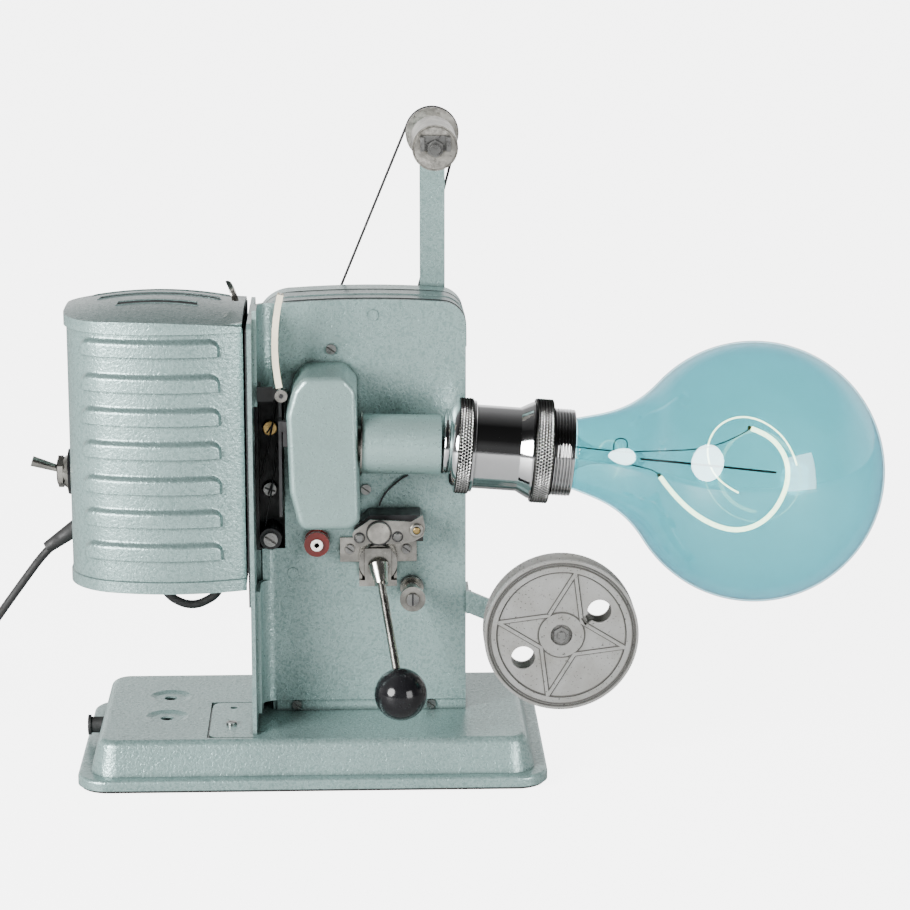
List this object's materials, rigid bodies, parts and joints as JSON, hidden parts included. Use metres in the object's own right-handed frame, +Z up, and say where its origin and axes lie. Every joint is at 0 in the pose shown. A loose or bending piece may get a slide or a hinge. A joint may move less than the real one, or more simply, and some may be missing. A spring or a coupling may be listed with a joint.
{
  "type": "film projector lamp",
  "caption": "Small home film projector in hammer paint made into a lamp, with a large tinted globe on its lens tube, reel arms, levers and mains lead.",
  "frame": {"origin": "centre of the underside of the felt pad under the base", "axes": "+X towards the lamp globe, +Y to the back, +Z up"},
  "size_m": [0.5285, 0.2723, 0.3158],
  "materials": {
    "hammer_paint": "grey-green hammer finish",
    "black_paint": "satin black",
    "felt": "felt",
    "rubber": "matt black",
    "nickel": "worn nickel plate",
    "chrome": "polished",
    "ceramic": "glazed",
    "brass": "plain",
    "glass_blue": "blue tint, clear",
    "glass_clear": "clear",
    "filament": "warm white coated strip",
    "cast_alu": "as cast, lightly brushed",
    "black_plastic": "gloss",
    "cream_plastic": "satin",
    "red_plastic": "gloss",
    "steel": "plain"
  },
  "bodies": {
    "chassis": {"base_pad": "felt", "base_pan": "hammer_paint", "cable_bush": "rubber", "divider_plate": "hammer_paint", "heat_shield": "black_paint", "casing_shell": "hammer_paint", "rear_cover": "hammer_paint", "front_plate": "hammer_paint", "gate_liner": "black_paint", "gate_strip": "nickel", "gate_block": "hammer_paint", "gate_latch": "black_paint", "lever_bracket": "nickel", "lens_tube": "hammer_paint", "lens_ring": "nickel", "holder_cap": "chrome", "holder_barrel": "chrome", "holder_insulator": "ceramic", "holder_screw_shell": "brass", "holder_contact": "brass", "feed_arm": "hammer_paint", "feed_belt": "rubber", "takeup_arm": "hammer_paint", "mechanism_plate": "nickel", "mechanism_block": "black_paint", "mechanism_face": "nickel", "lever_housing": "nickel", "roller_pins": "steel", "lamp_house_wall": "hammer_paint", "lamp_house_floor": "hammer_paint", "switch_body": "black_plastic", "switch_nut": "nickel", "lamp_lead": "rubber", "cord_run": "rubber", "cord_gland": "rubber", "cord_coil": "rubber", "plug_body": "black_plastic", "plug_pins": "nickel", "slotted_screws": "steel"},
    "lid": {"lamp_lid": "hammer_paint", "lid_clip": "steel"},
    "toggle": {"switch_lever": "nickel"},
    "lamp": {"bulb_glass": "glass_blue", "bulb_cap": "nickel", "bulb_stem": "glass_clear", "bulb_filament": "filament"},
    "shade_collar": {"shade_ring": "chrome"},
    "feed": {"feed_hub": "nickel", "feed_spindle": "steel", "feed_pulley": "nickel"},
    "drive": {"drive_pulley": "nickel"},
    "takeup": {"takeup_reel": "cast_alu", "takeup_spindle": "steel"},
    "ball_lever": {"lever_hub": "nickel", "lever_rod": "nickel", "lever_ball": "black_plastic"},
    "guide": {"guide_roller": "nickel"},
    "red": {"red_roller": "red_plastic"},
    "gate_arm": {"gate_lever": "nickel", "lever_sleeve": "cream_plastic"}
  },
  "joints": [
    {"name": "lid_lift", "type": "slide", "parent": "chassis", "child": "lid", "axis": [0, 0, 1], "range_m": [0, 0.04]},
    {"name": "switch_toggle", "type": "hinge", "parent": "chassis", "child": "toggle", "pos_m": [-0.1181, -0.003, 0.144], "axis": [0, 1, 0], "range_deg": [-34, 0]},
    {"name": "lamp_unscrew", "type": "hinge", "parent": "chassis", "child": "lamp", "pos_m": [0.12471, -0.0326, 0.15796], "axis": [0.994, 0, -0.1097], "range_deg": [0, 720]},
    {"name": "shade_ring_turn", "type": "hinge", "parent": "chassis", "child": "shade_collar", "pos_m": [0.062, -0.0326, 0.1629], "axis": [0.9969, 0, -0.0785], "continuous": true},
    {"name": "drive_spin", "type": "hinge", "parent": "chassis", "child": "drive", "pos_m": [0.0157, 0.042, 0.1697], "axis": [0, 1, 0], "continuous": true},
    {"name": "feed_spin", "type": "hinge", "parent": "chassis", "child": "feed", "pos_m": [0.06, 0.042, 0.3025], "axis": [0, 1, 0], "continuous": true},
    {"name": "takeup_spin", "type": "hinge", "parent": "chassis", "child": "takeup", "pos_m": [0.1203, -0.028, 0.0682], "axis": [0, 1, 0], "continuous": true},
    {"name": "ball_lever_swing", "type": "hinge", "parent": "chassis", "child": "ball_lever", "pos_m": [0.032, -0.027, 0.1022], "axis": [0, 1, 0], "range_deg": [-20, 40]},
    {"name": "guide_roller_spin", "type": "hinge", "parent": "chassis", "child": "guide", "pos_m": [0.0485, -0.02, 0.0862], "axis": [0, 1, 0], "continuous": true},
    {"name": "red_roller_spin", "type": "hinge", "parent": "chassis", "child": "red", "pos_m": [0.0024, -0.015, 0.11], "axis": [0, 1, 0], "continuous": true},
    {"name": "gate_lever_swing", "type": "hinge", "parent": "chassis", "child": "gate_arm", "pos_m": [-0.0135, -0.035, 0.1875], "axis": [0, 1, 0], "range_deg": [-8, 10]}
  ],
  "couplings": [
    {"joint": "feed_spin", "follows": "drive_spin", "ratio": 1.7638}
  ]
}
